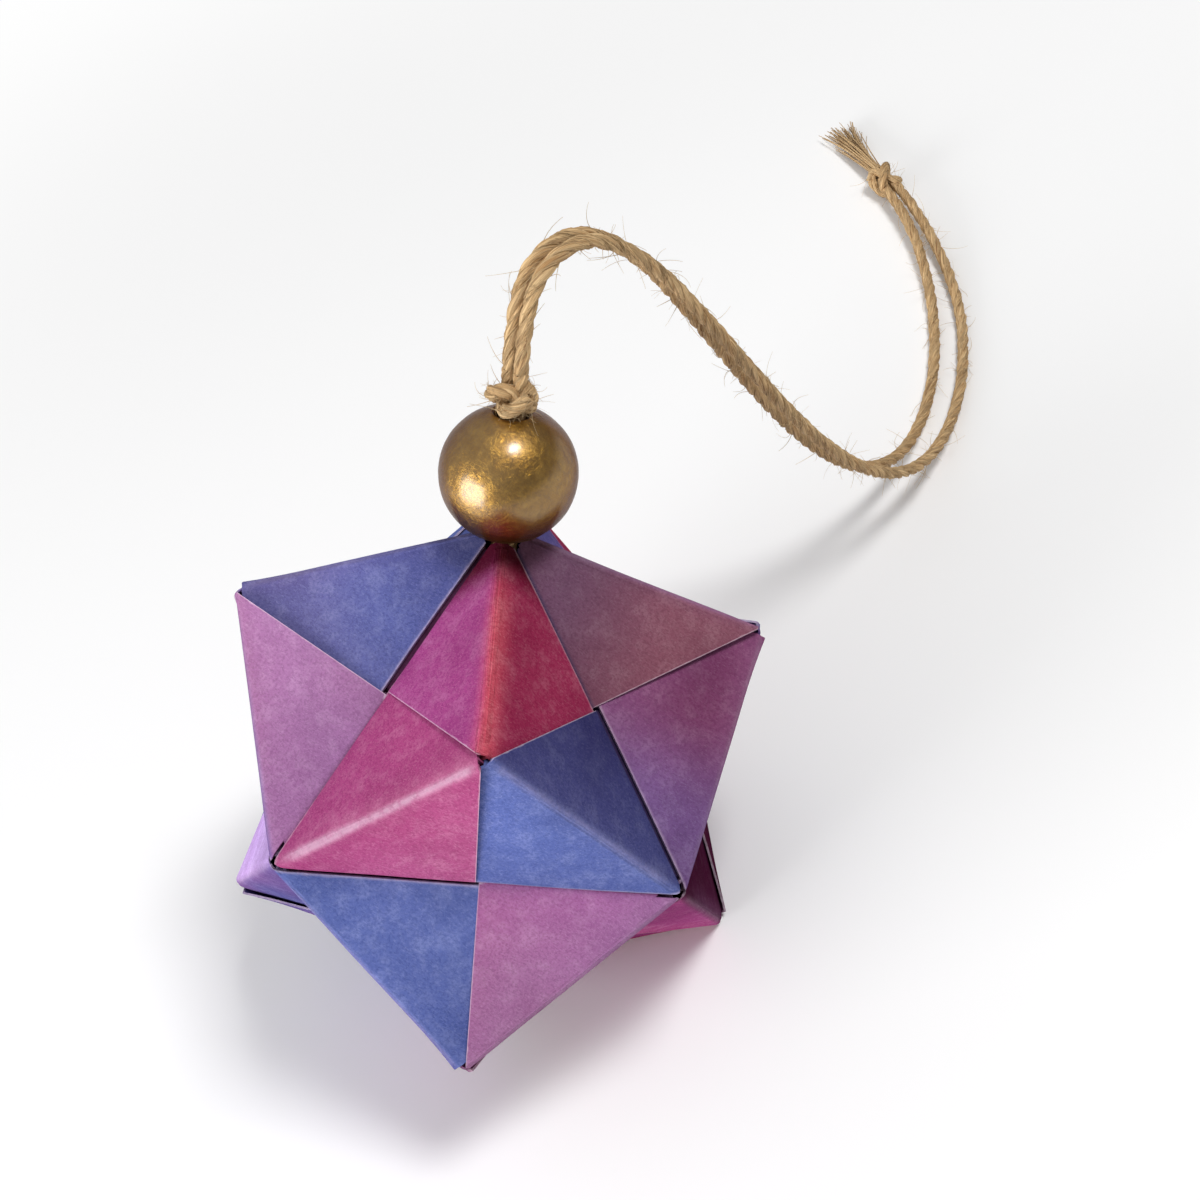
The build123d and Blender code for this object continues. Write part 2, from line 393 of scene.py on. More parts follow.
def new_piece(name, mesh, material):
    """An object at the origin with this mesh and finish."""
    piece = bpy.data.objects.new(name, mesh)
    scene.collection.objects.link(piece)
    mesh.materials.clear()
    mesh.materials.append(material)
    return piece


def keep(piece, slot, *replaced):
    """Puts a finished piece on the part, in place of its plain solids."""
    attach(piece, "root")
    if replaced:
        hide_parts(*replaced)
    return piece


# Dyes of the sheets. The three darkest red-purples are partly painted shade, and the two palest violets
# partly painted light.
blue, slate, periwinkle, navy = (84, 96, 156), (72, 78, 130), (90, 104, 166), (64, 72, 126)
violet, plum, burgundy_with_painted_shade, bead_shadow_maroon = (102, 80, 136), (128, 72, 114), (68, 22, 48), (70, 12, 26)
mauve, rose, raspberry, dusk = (156, 104, 147), (133, 82, 98), (150, 65, 111), (98, 74, 102)
magenta, crimson, ember, blush = (142, 61, 115), (140, 42, 74), (204, 86, 100), (182, 106, 140)
wine_with_painted_shade, dark_wine_with_painted_shade, pink, orchid = (74, 24, 50), (64, 20, 46), (170, 74, 124), (177, 91, 137)
fuchsia, cerise, heather, lilac = (160, 72, 128), (168, 78, 124), (114, 89, 142), (104, 112, 168)
pale_violet_with_painted_light, light_violet_with_painted_light = (186, 156, 210), (178, 146, 202)
indigo, deep_indigo, cornflower = (71, 72, 122), (55, 53, 98), (94, 108, 172)


def tones(door, tab, ridge_tint_and_highlight=(mauve, 0.2), tip=(violet, 0.2), wear_and_highlight=0.1, reach=(0.30, 0.80)):
    """Dyes of half a sheet: door and tab near the ridge and near the valley; a band along the ridge fold,
    partly dye and partly painted highlight; the vertex end, painted shadow under the bead on sheet 7; a
    pale fold, partly wear and partly painted highlight.
    """
    return {"door": door, "tab": tab, "ridge_tint_and_highlight": ridge_tint_and_highlight, "tip": tip, "wear_and_highlight": wear_and_highlight, "reach": reach}


# Right and left half of each sheet
wash_table = {
    # Sheet 1's right half: its darkest red-purples are partly painted shade
    1: (tones((burgundy_with_painted_shade, wine_with_painted_shade), (plum, magenta), tip=(burgundy_with_painted_shade, 0.3)),
        tones((plum, mauve), ((127, 68, 105), (141, 84, 126)), tip=(heather, 0.8))),
    2: (tones((pink, orchid), (raspberry, (147, 62, 109)), (blush, 0.3), (magenta, 0.2), wear_and_highlight=0.40),
        tones((mauve, (164, 99, 146)), (mauve, plum))),
    3: (tones((raspberry, magenta), (crimson, raspberry), (ember, 0.4)),
        tones((magenta, plum), (mauve, rose))),
    # Sheet 4's right door is partly painted light: its pale violets are lighter than the paper
    4: (tones((pale_violet_with_painted_light, light_violet_with_painted_light), (violet, slate)),
        tones((plum, violet), (slate, violet))),
    5: (tones((slate, violet), (blue, slate), (periwinkle, 0.3)),
        tones((blue, slate), (violet, blue))),
    6: (tones((raspberry, crimson), (magenta, raspberry), (ember, 0.4)),
        tones((rose, mauve), (raspberry, magenta))),
    # Sheet 7's right half darkens to a deep red towards the ball's vertex: painted shadow where the bead
    # sits on the ridge
    7: (tones((magenta, (146, 64, 120)), (crimson, (146, 47, 80)), (ember, 0.75), (bead_shadow_maroon, 0.92),
              wear_and_highlight=0.0, reach=(0.72, 0.88)),
        tones((mauve, (152, 106, 149)), (violet, plum), (rose, 0.2))),
    8: (tones((violet, slate), (blue, violet), (periwinkle, 0.3)),
        tones((violet, blue), ((80, 92, 150), (86, 98, 155)), (periwinkle, 0.3), (periwinkle, 0.3))),
    9: (tones((indigo, deep_indigo), (periwinkle, cornflower), (lilac, 0.25), (slate, 0.2), wear_and_highlight=0.12),
        tones((rose, (127, 77, 92)), (plum, violet), (mauve, 0.2), (dusk, 0.7))),
    10: (tones((blue, periwinkle), (violet, blue), (periwinkle, 0.3)),
         tones((slate, blue), ((102, 98, 150), (92, 100, 157)), (violet, 0.2), (navy, 0.7))),
    # Sheet 11's right tab: its darkest red-purples are partly painted shade
    11: (tones((fuchsia, cerise), (burgundy_with_painted_shade, dark_wine_with_painted_shade), tip=(burgundy_with_painted_shade, 0.2)),
         tones((rose, raspberry), (mauve, magenta))),
    12: (tones((slate, blue), (periwinkle, blue)),
         tones((blue, violet), (slate, violet))),
}
sheet_slots = {"paper_blue": (5, 8, 9, 10, 12), "paper_plum": (1, 4, 11), "paper_rose": (2, 3, 6, 7)}

# Door lift, tab slide and tab lift in mm, by sheet and half, where a seam gapes or closes most
seam_ease = {
    (10, 1): (0.30, -0.30, 0.18),
    (7, 1): (0.60, 0.20, 0.18),
    (9, 1): (0.60, 0.30, 0.18),
    (1, 1): (0.30, -0.15, 0.14),
    (2, 0): (0.35, 0.75, 0.10),
    (8, 1): (0.30, 0.05, 0.20),
    (9, 0): (0.25, 0.50, 0.15),
}


def unit_places():
    """Places of the twelve units in the ball's frame, in the order of their nodes."""
    axes = (Vector((1, 0, 0)), Vector((0, 1, 0)), Vector((0, 0, 1)))
    places = []
    for first, second in ((0, 1), (1, 2), (2, 0)):
        for sign, other in ((1, 1), (1, -1), (-1, 1), (-1, -1)):
            outward = (axes[first] * sign + axes[second] * other).normalized()
            along = (axes[second] * other - axes[first] * sign).normalized()
            turn = Matrix((along.cross(outward), along, outward)).transposed().to_4x4()
            places.append(Matrix.Translation(outward * half_valley) @ turn)
    return places


def half_point(point):
    """A point of a unit brought to its right half, and which half it was on: 0 right, 1 left."""
    if point.x >= 0:
        return point.copy(), 0
    return Vector((-point.x, -point.y, point.z)), 1


def corner_heights(point):
    """Heights of a right-half point over its face and over the faces past the near and far ridges."""
    over_face = point.dot(face_normal)
    past_ridge = point.dot(over_ridge) - half_ridge
    past_far = point.dot(over_far_ridge) - half_ridge
    return over_face, past_ridge, past_far


def ridge_offset(point):
    """Distance round the outside of a sheet from its ridge fold, above 0 on the door's side."""
    over_face, past_ridge, past_far = corner_heights(point)
    return (tab_out - past_ridge) - (door_out - over_face)


def panel_of(point):
    """Which ply of the folded sheet a right-half point is on."""
    over_face, past_ridge, past_far = corner_heights(point)
    if over_face > door_in - ply_margin:
        return "door"
    if past_ridge > tab_in - ply_margin:
        return "tab"
    return "inside"


def cut_grid(piece):
    """Divides a unit's panels along and across their ridges, more finely near the ridges and cut edges."""
    cuts = [
        (("door", "inside"), over_ridge, [half_ridge - step * mm for step in ridge_cuts]),
        (("tab",), face_normal, [-step * mm for step in ridge_cuts]),
        (("door", "inside", "tab"), over_far_ridge, [half_ridge - step * mm for step in along_cuts]),
        (("door",), Vector((0, 1, 0)), [seam_gap + step * mm for step in door_edge_cuts]),
        (("tab",), to_tab_edge, [tab_edge_at - step * mm for step in tab_edge_cuts]),
    ]
    select_only(piece)
    bpy.ops.object.mode_set(mode="EDIT")
    bpy.ops.mesh.select_mode(type="VERT")
    bpy.ops.mesh.select_all(action="SELECT")
    bpy.ops.mesh.remove_doubles(threshold=0.002 * mm)
    bpy.ops.mesh.dissolve_limited(angle_limit=math.radians(0.4))
    bpy.ops.mesh.select_mode(type="FACE")
    for side in (0, 1):
        turn = Matrix.Rotation(math.pi * side, 3, "Z")
        for panels, direction, distances in cuts:
            sheet = bmesh.from_edit_mesh(piece.data)
            for face in sheet.faces:
                point, half = half_point(face.calc_center_median())
                face.select_set(half == side and panel_of(point) in panels)
            bmesh.update_edit_mesh(piece.data)
            bpy.ops.mesh.hide(unselected=True)
            normal = turn @ direction
            for distance in distances:
                bpy.ops.mesh.select_all(action="SELECT")
                bpy.ops.mesh.bisect(plane_co=normal * distance, plane_no=normal)
            bpy.ops.mesh.reveal(select=False)
    bpy.ops.object.mode_set(mode="OBJECT")


def face_bow(point):
    """How the handled paper swells between its folds: the same for every ply on one face of the ball."""
    signs = Vector([math.copysign(1, value) for value in point])
    sizes = [abs(value) for value in point]
    low = sizes.index(min(sizes))
    others = [axis for axis in range(3) if axis != low]
    shares = [max(0.0, (sizes[axis] - sizes[low]) / ridge) for axis in others]
    tip = max(0.0, sizes[low] / (ridge * 2 / 3))
    normal = Vector((0, 0, 0))
    for axis in range(3):
        normal[axis] = signs[axis] * (2 / 3 if axis != low else -1 / 3)
    middle = signs.copy()
    middle[low] *= 0.4
    swell = swell_mean + swell_spread * noise.noise(middle * swell_grain)
    swell *= full_swell * shares[0] * shares[1] * tip
    waver = noise.noise(point / waver_grain) * waver_depth
    return normal * (swell + waver)


def ease(value, start, finish):
    """0 before start, 1 after finish, smooth between."""
    share = min(1.0, max(0.0, (value - start) / (finish - start)))
    return share * share * (3 - 2 * share)


def hump(value, width):
    """1 at zero, falling away to both sides within about this width."""
    return math.exp(-((value / width) ** 2))


def apex_share(point):
    """How far along its ridge a right-half point is: 0 at the pyramid's tip, 1 at the ball's vertex."""
    return -corner_heights(point)[2] / ridge


def colour_with_painted_light(number, point, half, panel, ball_point):
    """Colour of the sheet at a point of its right or left half: its dyes, with painted shade on the inside
    ply and at sheet 7's vertex end, and a band along the ridge that is partly painted highlight.
    """
    dyes = wash_table[number][half]
    # Painted shade: the inside ply shows only down the gaps, so it is darkened
    if panel == "inside":
        return linear(*dyes["tab"][1]) * inside_painted_shade
    own_place = Vector((number * 1.7, 0, half * 2.3))
    cloud = 0.5 + cloud_depth * noise.noise(ball_point / cloud_grain + own_place)
    offset = ridge_offset(point)
    along = apex_share(point)
    share = min(1.0, max(0.0, abs(offset) / wash_reach + (cloud - 0.5) * cloud_shift))
    door = linear(*dyes["door"][0]).lerp(linear(*dyes["door"][1]), share)
    tab = linear(*dyes["tab"][0]).lerp(linear(*dyes["tab"][1]), share)
    colour = tab.lerp(door, ease(offset, fold_from, fold_to))
    # Band along the ridge fold: partly dye, partly painted highlight
    ridge_tint_and_highlight, ridge_band_share = dyes["ridge_tint_and_highlight"]
    ridge_band_width = ridge_band_to_door if offset > ridge_band_at else ridge_band_to_tab
    on_ridge = hump(offset - ridge_band_at, ridge_band_width) * (1 - ease(along, 0.55, 0.95))
    colour = colour.lerp(linear(*ridge_tint_and_highlight), on_ridge * ridge_band_share)
    # Colour at the vertex end: the dye's own change, and on sheet 7's right half painted shadow under the
    # bead
    tip, tip_share = dyes["tip"]
    to_vertex = ease(along + (cloud - 0.5) * 0.06, *dyes["reach"])
    colour = colour.lerp(linear(*tip), tip_share * to_vertex)
    tone = wash_tone + cloud_tone * cloud
    return Vector((colour.x * tone, colour.y * tone, colour.z * tone, 1.0))


def paleness(number, point, half, panel):
    """Where the dye is rubbed off and the white core of the paper shows, at cut edges and folds; the pale
    band along a fold is partly painted highlight.
    """
    if panel == "inside":
        return 0.0
    if panel == "door":
        cut = door_edge_pale * (1.0 - min(1.0, abs(point.y - seam_gap) / door_edge_width))
    else:
        from_edge = abs(tab_edge_at - point.dot(to_tab_edge))
        cut = tab_edge_pale * (1.0 - min(1.0, from_edge / tab_edge_width))
    along = apex_share(point)
    handled = ease(along, 0.0, 0.06) * (1 - ease(along, 0.85, 1.0))
    # Pale band along the fold: partly wear, partly painted highlight
    crease = hump(ridge_offset(point), wear_and_highlight_width) * wash_table[number][half]["wear_and_highlight"] * handled
    return max(cut, crease)


def seam_shift(point, panel, door_lift, tab_slide, tab_lift):
    """How far a right-half point of a door or tab has come away from its seam."""
    if panel == "door":
        near_seam = max(0.0, 1 - (point.y - seam_gap) / door_lift_reach)
        up_share = max(0.0, point.dot(up_face) / half_valley)
        return face_normal * (door_lift * near_seam**2 * up_share)
    if panel == "tab":
        from_edge = max(0.0, tab_edge_at - point.dot(to_tab_edge))
        near_edge = max(0.0, 1 - from_edge / tab_lift_reach)
        from_middle = abs(point.dot(over_far_ridge) / half_ridge - tab_lift_middle)
        middle = max(0.0, 1 - from_middle / tab_lift_width)
        slide = to_tab_edge * (tab_slide * near_edge * middle)
        return slide + over_ridge * (tab_lift * near_edge**2 * middle)
    return Vector((0, 0, 0))


def shape_sheet(piece, number, place):
    """Gives a unit's flat panels the ease of handled paper and their colours, in the unit's own frame."""
    back = place.inverted().to_3x3()
    rng = random.Random(400 + number)
    drawn = [(rng.uniform(0.05, 0.45), rng.uniform(-0.15, 0.7), usual_tab_lift) for half in (0, 1)]
    lifts = [Vector(seam_ease.get((number, half), drawn[half])) * mm for half in (0, 1)]
    colours_with_painted_light, pales = [], []
    for vertex in piece.data.vertices:
        point, half = half_point(vertex.co)
        panel = panel_of(point)
        colours_with_painted_light.append(colour_with_painted_light(number, point, half, panel, place @ vertex.co))
        pales.append(paleness(number, point, half, panel))
        shift = seam_shift(point, panel, *lifts[half])
        if half:
            shift = Vector((-shift.x, -shift.y, shift.z))
        moved = vertex.co + shift
        vertex.co = moved + back @ face_bow(place @ moved)
    # The sheet's colours, with their painted shade and highlights
    dye_and_painted_light = piece.data.color_attributes.new("dye_and_painted_light", "FLOAT_COLOR", "POINT")
    dye_and_painted_light.data.foreach_set("color", [value for colour in colours_with_painted_light for value in colour])
    pale = piece.data.attributes.new("pale", "FLOAT", "POINT")
    pale.data.foreach_set("value", pales)


def folded_sheets():
    """The twelve folded sheets, each from its own solid."""
    papers = {
        "paper_blue": dyed_paper("dyed_paper_blue", fibre_scale=3400, cloud=0.46),
        "paper_plum": dyed_paper("dyed_paper_plum", fibre_scale=3200, cloud=0.50),
        "paper_rose": dyed_paper("dyed_paper_rose", fibre_scale=3300, cloud=0.42),
    }
    for number, place in enumerate(unit_places(), start=1):
        name = paper_nodes[number - 1]
        slot = next(slot for slot in papers if number in sheet_slots[slot])
        mesh = nodes[name].data.copy()
        piece = new_piece(f"folded_sheet_{number:02d}", mesh, papers[slot])
        world = ball_place @ place
        mesh.transform(world.inverted())
        cut_grid(piece)
        shape_sheet(piece, number, place)
        mesh.transform(world)
        for vertex in mesh.vertices:
            vertex.co.z = max(vertex.co.z, 0.0)
        select_only(piece)
        bpy.ops.object.shade_smooth_by_angle(angle=paper_smooth)
        keep(piece, slot, name)


def pick(piece, kind, wanted):
    """Selects, in edit mode, the faces or edges of a piece that are wanted."""
    bpy.ops.mesh.select_mode(type=kind)
    bpy.ops.mesh.select_all(action="DESELECT")
    shape = bmesh.from_edit_mesh(piece.data)
    for element in shape.faces if kind == "FACE" else shape.edges:
        element.select_set(wanted(element))
    bmesh.update_edit_mesh(piece.data)


def painted_bead(material):
    """Turned wooden bead with a soft-edged bore, a little out of true; gives its middle."""
    low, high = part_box("bead")
    centre = (low + high) / 2
    bore = bead_bore / 2
    bpy.ops.object.select_all(action="DESELECT")
    bpy.ops.mesh.primitive_uv_sphere_add(segments=96, ring_count=64, radius=bead_radius)
    bead = bpy.context.object
    bead.name = "painted_bead"
    bpy.ops.object.mode_set(mode="EDIT")
    pick(bead, "FACE", lambda face: face.calc_center_median().xy.length < bore + bead_edge)
    bpy.ops.mesh.delete(type="FACE")
    for end in (1, -1):
        pick(bead, "EDGE", lambda edge: edge.is_boundary and edge.verts[0].co.z * end > 0)
        for narrow, deep in bore_lip:
            bpy.ops.mesh.extrude_region_move(TRANSFORM_OT_translate={"value": (0, 0, -end * deep * mm)})
            bpy.ops.transform.resize(value=(narrow, narrow, 1), center_override=(0, 0, 0))
    pick(bead, "EDGE", lambda edge: edge.is_boundary)
    bpy.ops.mesh.bridge_edge_loops()
    bpy.ops.mesh.select_all(action="SELECT")
    bpy.ops.mesh.normals_make_consistent(inside=False)
    bpy.ops.object.mode_set(mode="OBJECT")
    for vertex in bead.data.vertices:
        if vertex.co.xy.length > bore + bead_rim:
            dent = sum(noise.noise(vertex.co / grain) * depth for grain, depth in bead_dents)
            vertex.co += vertex.co.normalized() * (dent - bead_shrink)
    bead.data.transform(Matrix.Translation(centre) @ ball_turn)
    bead.data.materials.append(material)
    select_only(bead)
    bpy.ops.object.shade_smooth_by_angle(angle=bead_smooth)
    keep(bead, "gold_wood", "bead")
    return centre


def smooth_line(points, name, order=3, detail=14):
    """Points along a NURBS spline that has the given control points."""
    curve = bpy.data.curves.new(name, "CURVE")
    curve.dimensions = "3D"
    spline = curve.splines.new("NURBS")
    spline.points.add(len(points) - 1)
    for control, point in zip(spline.points, points):
        control.co = (*point, 1)
    spline.order_u = order
    spline.use_endpoint_u = True
    spline.resolution_u = detail
    holder = bpy.data.objects.new(name, curve)
    scene.collection.objects.link(holder)
    bpy.context.view_layer.update()
    mesh = bpy.data.meshes.new_from_object(holder)
    line = [vertex.co.copy() for vertex in mesh.vertices]
    bpy.data.objects.remove(holder)
    bpy.data.curves.remove(curve)
    bpy.data.meshes.remove(mesh)
    return line


def lengths_along(line):
    """Distance of each point of a line from its start."""
    lengths = [0.0]
    for before, after in zip(line, line[1:]):
        lengths.append(lengths[-1] + (after - before).length)
    return lengths


def even_steps(line, step):
    """The same line with points about one step apart."""
    lengths = lengths_along(line)
    count = max(2, round(lengths[-1] / step))
    spaced, index = [], 0
    for number in range(count + 1):
        goal = lengths[-1] * number / count
        while index < len(line) - 2 and lengths[index + 1] < goal:
            index += 1
        run = max(lengths[index + 1] - lengths[index], 1e-12)
        share = min(1.0, (goal - lengths[index]) / run)
        spaced.append(line[index].lerp(line[index + 1], share))
    return spaced


def carried_frames(line):
    """Directions along and across a line that turn as little as they can."""
    ahead = [(after - before).normalized() for before, after in zip(line, line[1:])]
    ahead.append(ahead[-1].copy())
    across = ahead[0].orthogonal().normalized()
    frames = []
    for heading in ahead:
        across = (across - heading * across.dot(heading)).normalized()
        frames.append((heading, across, heading.cross(across)))
    return frames


def round_about(frame_here, angle):
    """The direction out of a line at an angle round it."""
    heading, across, aside = frame_here
    return across * math.cos(angle) + aside * math.sin(angle)


class Fibres:
    """Vertices, faces and lay of strands and hairs that make one piece of twine."""

    def __init__(self):
        self.points = []
        self.faces = []
        self.lay = []
        self.loose = []

    def tube(self, line, radii, around, offset=0.0, loose=0.0, flutes=0.0):
        """A closed tube along a line, with so many points around it."""
        first = len(self.points)
        lengths = lengths_along(line)
        for spot, frame_here, radius, along in zip(line, carried_frames(line), radii, lengths):
            for number in range(around):
                angle = full_turn * number / around
                ripple = 1 + flutes * math.sin(5 * angle + along / mm * 1.1)
                self.points.append(spot + round_about(frame_here, angle) * (radius * ripple))
                self.lay.append((along / mm + offset, math.cos(angle), math.sin(angle)))
                self.loose.append(loose)
        last = first + (len(line) - 1) * around
        for near in range(first, last, around):
            far = near + around
            for number in range(around):
                following = (number + 1) % around
                self.faces.append((near + number, near + following, far + following, far + number))
        self.faces.append(tuple(range(first + around - 1, first - 1, -1)))
        self.faces.append(tuple(range(last, last + around)))

    def twine(self, line, diameter, pitch, rng, plies=3, wisps=20):
        """Plies laid round each other along a line, with single fibres on their outside."""
        frames = carried_frames(line)
        lengths = lengths_along(line)

        def laid(index, start, out_by):
            angle = full_turn * (lengths[index] / pitch + start)
            return line[index] + round_about(frames[index], angle) * out_by

        for ply in range(plies):
            phase = rng.uniform(0, 9)
            strand, radii = [], []
            for index, along in enumerate(lengths):
                uneven = noise.noise(Vector((along / (2.2 * mm), phase, ply * 3.0)))
                strand.append(laid(index, ply / plies, diameter * (ply_out + ply_out_spread * uneven)))
                radii.append(diameter * (ply_radius + ply_radius_spread * uneven))
            self.tube(strand, radii, 12, offset=phase * 20, flutes=0.06)
        for wisp in range(wisps):
            phase = rng.uniform(0, 40)
            start = rng.random()
            thick = rng.uniform(0.035, 0.075) * mm
            strand = []
            for index, along in enumerate(lengths):
                drift = wisp_drift * noise.noise(Vector((along / (6 * mm), phase, 1.7)))
                height = noise.noise(Vector((along / (3 * mm), phase, 8.1)))
                ply_round = 0.5 + 0.5 * math.cos(full_turn * plies * (start + drift))
                out_by = diameter * (wisp_out + wisp_over_ply * ply_round + wisp_spread * height)
                strand.append(laid(index, start + drift, out_by))
            strand = strand[::2]
            self.tube(strand, [thick] * len(strand), 4, offset=phase * 7, loose=0.35)

    def hairs(self, line, diameter, count, rng, longest):
        """Loose fibres that stand off the twine, in mm at most so long, and stay over the floor."""
        steps = 6
        floor = 0.04 * mm
        sag = Vector((0, 0, -0.05))
        frames = carried_frames(line)
        for number in range(count):
            index = rng.randrange(len(line))
            heading = frames[index][0]
            out = round_about(frames[index], rng.uniform(0, full_turn))
            swing = Vector((rng.gauss(0, 1), rng.gauss(0, 1), rng.gauss(0, 1)))
            course = heading * rng.choice((-1, 1)) * rng.uniform(0.4, 1.5)
            course = (course + out * rng.uniform(0.3, 1.0)).normalized()
            spot = line[index] + out * diameter * hair_root
            length = rng.uniform(0.4, 1.0) ** 2 * longest * mm
            hair = [spot.copy()]
            for step in range(steps):
                course = (course + swing * 0.16 + sag).normalized()
                spot = spot + course * length / steps
                spot.z = max(spot.z, floor)
                hair.append(spot.copy())
            thick = rng.uniform(0.020, 0.040) * mm
            radii = [thick * (1 - 0.1 * step) for step in range(steps + 1)]
            self.tube(hair, radii, 3, offset=rng.uniform(0, 50), loose=1.0)

    def piece(self, name, material):
        """The finished piece, with its lay and its loose fibres marked for the material."""
        mesh = bpy.data.meshes.new(name)
        mesh.from_pydata([tuple(point) for point in self.points], [], self.faces)
        lay = mesh.attributes.new("lay", "FLOAT_VECTOR", "POINT")
        lay.data.foreach_set("vector", [value for vector in self.lay for value in vector])
        loose = mesh.attributes.new("loose", "FLOAT", "POINT")
        loose.data.foreach_set("value", self.loose)
        made = new_piece(name, mesh, material)
        select_only(made)
        bpy.ops.object.shade_smooth_by_angle(angle=twine_smooth)
        return made


def leg_route(side, start):
    """Control points of one leg, as in the part's source."""
    route = [(Vector(spot[:3]) * mm, spot[3] * mm) for spot in hanger_route]
    route = [(start, leg_offset), (start + bead_axis * first_run, leg_offset)] + route
    route.append((end_knot_entry, leg_offset))
    points = []
    for index, (spot, spread) in enumerate(route):
        before = route[max(index - 1, 0)][0]
        after = route[min(index + 1, len(route) - 1)][0]
        if index <= 1:
            before, after = start, start + bead_axis
        if index >= len(route) - 2:
            before, after = route[-2][0], end_knot_entry
        heading = after - before
        aside = Vector((heading.y, -heading.x, 0)).normalized()
        points.append(spot + aside * (side * spread))
    return points


def overhand(radius, thick, tall):
    """Control points of a tight overhand knot round Z, middle at the origin, from sizes in mm."""
    points = []
    for step in range(37):
        angle = full_turn * step / 36
        weave = 3 * angle + 0.6
        out = radius + thick * math.cos(weave)
        spot = (out * math.cos(2 * angle), out * math.sin(2 * angle), tall * math.sin(weave))
        points.append(Vector(spot) * mm)
    return points


def tied_knot(material, node, loop, place, strand, hairs, seed, roots=()):
    """A knot in place of its solid: its loop, the strands that run into it, and its hairs."""
    name = f"{node}_twine"
    rng = random.Random(seed)
    line = even_steps(smooth_line([place @ point for point in loop], name), knot_step)
    fibres = Fibres()
    fibres.twine(line, strand, knot_pitch, rng)
    for root in roots:
        fibres.twine(even_steps(smooth_line(root, name), knot_step), strand, knot_pitch, rng)
    fibres.hairs(line, strand, hairs, rng, longest=3.2)
    return keep(fibres.piece(name, material), "jute", node)


def bead_knot(material, foot, leg_start):
    """Knot of the doubled twine on top of the bead, with the two legs rising out of it."""
    roots = []
    for side in sides.values():
        aside = Vector((side * leg_offset, 0, 0))
        low_end = foot + bead_axis * 1.2 * mm + aside * 0.6
        roots.append([low_end, foot + bead_axis * 2.6 * mm + aside, leg_start + aside])
    place = Matrix.Translation(foot + bead_axis * 1.6 * mm) @ ball_turn
    loop = overhand(radius=1.34, thick=0.76, tall=0.98)
    tied_knot(material, "bead_knot", loop, place, strand=1.5 * mm, hairs=170, seed=11, roots=roots)


def stopper_knot(material):
    """Knot inside the ball that the twine can't pull through."""
    low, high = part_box("stopper_knot")
    place = Matrix.Translation((low + high) / 2) @ ball_turn
    loop = overhand(radius=1.4, thick=0.7, tall=1.0)
    tied_knot(material, "stopper_knot", loop, place, strand=1.35 * mm, hairs=10, seed=12)


def end_knot(material, heading):
    """Knot that joins the two legs, which run into it."""
    roots = []
    for side in sides.values():
        aside = Vector((heading.y, -heading.x, 0)) * (side * leg_offset)
        entry = end_knot_entry + aside
        inner_end = end_knot_entry + heading * 2.4 * mm + aside * 0.4
        roots.append([entry - heading * 0.3 * mm, entry + heading * 0.9 * mm, inner_end])
    along_floor = heading.to_track_quat("Z", "Y").to_matrix().to_4x4()
    place = Matrix.Translation(end_knot_entry + heading * end_knot_length * 0.5) @ along_floor
    loop = overhand(radius=1.15, thick=0.50, tall=1.7)
    return tied_knot(material, "end_knot", loop, place, strand=1.3 * mm, hairs=60, seed=13, roots=roots)


def inner_twine(material, name, knot_foot):
    """One run of twine from the stopper knot through the bead."""
    aside = Vector((sides[name] * leg_offset, 0, 0))
    foot = Vector((0, 0, ball_height)) + bead_axis * inner_foot + aside
    top = Vector((0, knot_foot.y, knot_foot.z)) + aside
    middle = (foot + top) / 2 + Vector((sides[name] * 0.1 * mm, 0, 0))
    line = even_steps(smooth_line([foot, middle, top], f"inner_line_{name}"), inner_step)
    fibres = Fibres()
    fibres.twine(line, twine_diameter, inner_pitch, random.Random(20 + sides[name]))
    keep(fibres.piece(f"inner_twine_{name}", material), "jute", f"twine_run_{name}")


def hanger_leg(material, name, start):
    """One leg of the hanger with its fuzz."""
    rng = random.Random(30 + sides[name])
    points = leg_route(sides[name], start)
    line = even_steps(smooth_line(points, f"leg_line_{name}"), twine_step)
    fibres = Fibres()
    fibres.twine(line, twine_diameter, twine_pitch, rng)
    leg = keep(fibres.piece(f"hanger_twine_{name}", material), "jute", f"hanger_leg_{name}")
    loose = Fibres()
    loose.hairs(line, twine_diameter, leg_hairs, rng, longest=4.0)
    fuzz = keep(loose.piece(f"twine_fuzz_{name}", material), "jute")


def brush_tail(material, start, heading):
    """Frayed end of the twine: a loose brush of fibre that lies on the floor."""
    rng = random.Random(51)
    aside = Vector((heading.y, -heading.x, 0)).normalized()
    fibres = Fibres()
    for number in range(tail_fibres):
        spread = rng.gauss(0, 0.42)
        rise = rng.uniform(-1, 1)
        reach = tail_length * rng.uniform(0.62, 1.0)
        wander = rng.gauss(0, 0.35)
        roundness = math.sqrt(max(0.05, 1 - min(1, spread * spread)))
        points = []
        for step in range(9):
            share = step / 8
            width = (0.75 + 1.5 * share**1.3) * mm
            height = (0.85 - 0.30 * share) * mm
            centre = start + heading * (reach * share - 0.6 * mm)
            centre.z = start.z * (1 - share) + 0.95 * mm * share
            point = centre + aside * (width * (spread + wander * share * share))
            point.z = max(0.06 * mm, centre.z + rise * height * roundness)
            points.append(point)
        line = even_steps(smooth_line(points, "tail_fibre", detail=4), 0.8 * mm)
        thick = rng.uniform(0.05, 0.14) * mm
        radii = [thick * (1 - 0.6 * (index / len(line)) ** 2) for index in range(len(line))]
        fibres.tube(line, radii, 5, offset=rng.uniform(0, 90), loose=0.25)
    return keep(fibres.piece("frayed_brush", material), "jute", "frayed_tail")


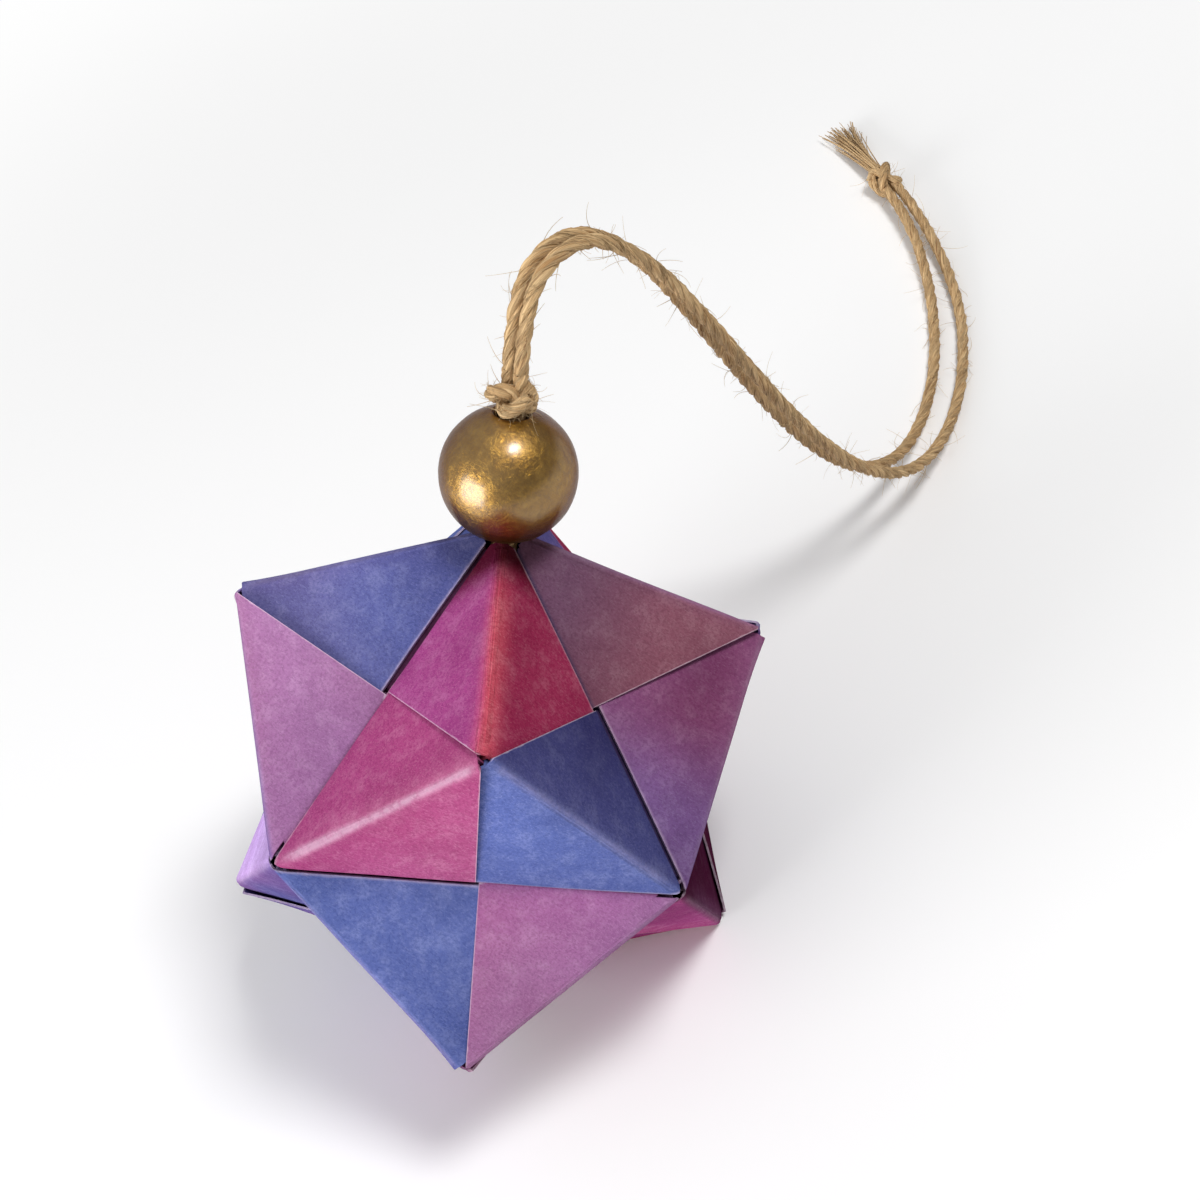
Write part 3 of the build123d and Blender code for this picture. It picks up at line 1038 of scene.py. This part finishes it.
def twine_hanger(material, bead_centre):
    """Knots, inner runs, frayed tail and two legs of the hanger."""
    mouth = math.sqrt(bead_radius**2 - (bead_bore / 2 + bead_edge) ** 2)
    knot_foot = bead_centre + bead_axis * (mouth + knot_seat_gap)
    leg_start = knot_foot + bead_axis * bead_knot_height
    heading = end_knot_entry - Vector(hanger_route[-1][:3]) * mm
    heading.z = 0
    heading.normalize()
    bead_knot(material, knot_foot, leg_start)
    stopper_knot(material)
    joining_knot = end_knot(material, heading)
    for name in sides:
        inner_twine(material, name, knot_foot)
    tail = brush_tail(material, end_knot_entry + heading * end_knot_length, heading)
    hanger_leg(material, "left", leg_start)
    hanger_leg(material, "right", leg_start)


def seen_white(start):
    """How far a ray sees the white room: all of it from the camera, a share of it in the bead."""
    camera_ray = start.node("ShaderNodeLightPath", out="Is Camera Ray")
    glossy_ray = start.node("ShaderNodeLightPath", out="Is Glossy Ray")
    return camera_ray + glossy_ray * bead_glimpse


def pale_floor():
    """Pale floor that takes the part's shadow and goes over into the white room away from it."""
    bpy.ops.object.select_all(action="DESELECT")
    bpy.ops.mesh.primitive_plane_add(size=4)
    floor = bpy.context.object
    floor.name = "floor"
    material, start = new_finish("pale_floor")
    values = {"Base Color": linear(249, 249, 249), "Roughness": 0.6, "Specular IOR Level": 0.2}
    lit = start.node("ShaderNodeBsdfPrincipled", None, values)
    white = start.node("ShaderNodeEmission", None, {"Color": (1, 1, 1, 1), "Strength": room_white})
    place = start.node("ShaderNodeTexCoord", out="Object")
    far = place.towards("DISTANCE", (0, 0.04, 0)).fade(0.09, 0.24)
    values = {0: far * seen_white(start), 1: lit, 2: white}
    close_finish(start, start.node("ShaderNodeMixShader", None, values))
    floor.data.materials.append(material)


def white_room():
    """Surroundings that are white to look at and light the part more from the front left above."""
    world = bpy.data.worlds.new("white_room")
    scene.world = world
    world.use_nodes = True
    world.node_tree.nodes.clear()
    start = Socket(world.node_tree)
    outward = start.node("ShaderNodeTexCoord", out="Generated")
    light = outward.towards("DOT_PRODUCT", (-0.58, -0.52, 0.63)).fade(-0.5, 0.9, 0.035, 0.58)
    seen = seen_white(start)
    values = {"Color": (1, 1, 1, 1), "Strength": light * (1 - seen) + seen * room_white}
    start.node("ShaderNodeOutputWorld", None, {"Surface": start.node("ShaderNodeBackground", None, values)})


def soft_lamp(name, place, size, power):
    """A square lamp at a place in mm, turned to the middle of the part."""
    aim = Vector((0, 10, 30)) * mm
    lamp = bpy.data.lights.new(name, "AREA")
    lamp.size = size
    lamp.energy = power
    holder = bpy.data.objects.new(name, lamp)
    scene.collection.objects.link(holder)
    holder.location = Vector(place) * mm
    holder.rotation_euler = (aim - holder.location).to_track_quat("-Z", "Y").to_euler()


def place_camera():
    """The viewing angle of the photograph: from above, a little tilted."""
    place = Vector((127.6, -53.5, 190.5)) * mm
    aim = Vector((-5, 22, 25)) * mm
    image_up = Vector((-0.375, 0.635, 0.676))
    forward = (aim - place).normalized()
    right = forward.cross(image_up).normalized()
    up = right.cross(forward)
    camera = bpy.data.cameras.new("camera")
    camera.sensor_width = 36
    camera.lens = 62.7
    camera.clip_start = 0.005
    holder = bpy.data.objects.new("camera", camera)
    scene.collection.objects.link(holder)
    turn = Matrix((right, up, -forward)).transposed().to_4x4()
    holder.matrix_world = Matrix.Translation(place) @ turn
    scene.camera = holder


scene.view_settings.view_transform = "Standard"
place_camera()
pale_floor()
white_room()
soft_lamp("front_window", (-90, -470, 120), size=0.30, power=2.2)
soft_lamp("overhead_softbox", (190, 170, 560), size=0.16, power=2.05)
twine = jute_twine()
bead_middle = painted_bead(gilded_wood())
twine_hanger(twine, bead_middle)
folded_sheets()
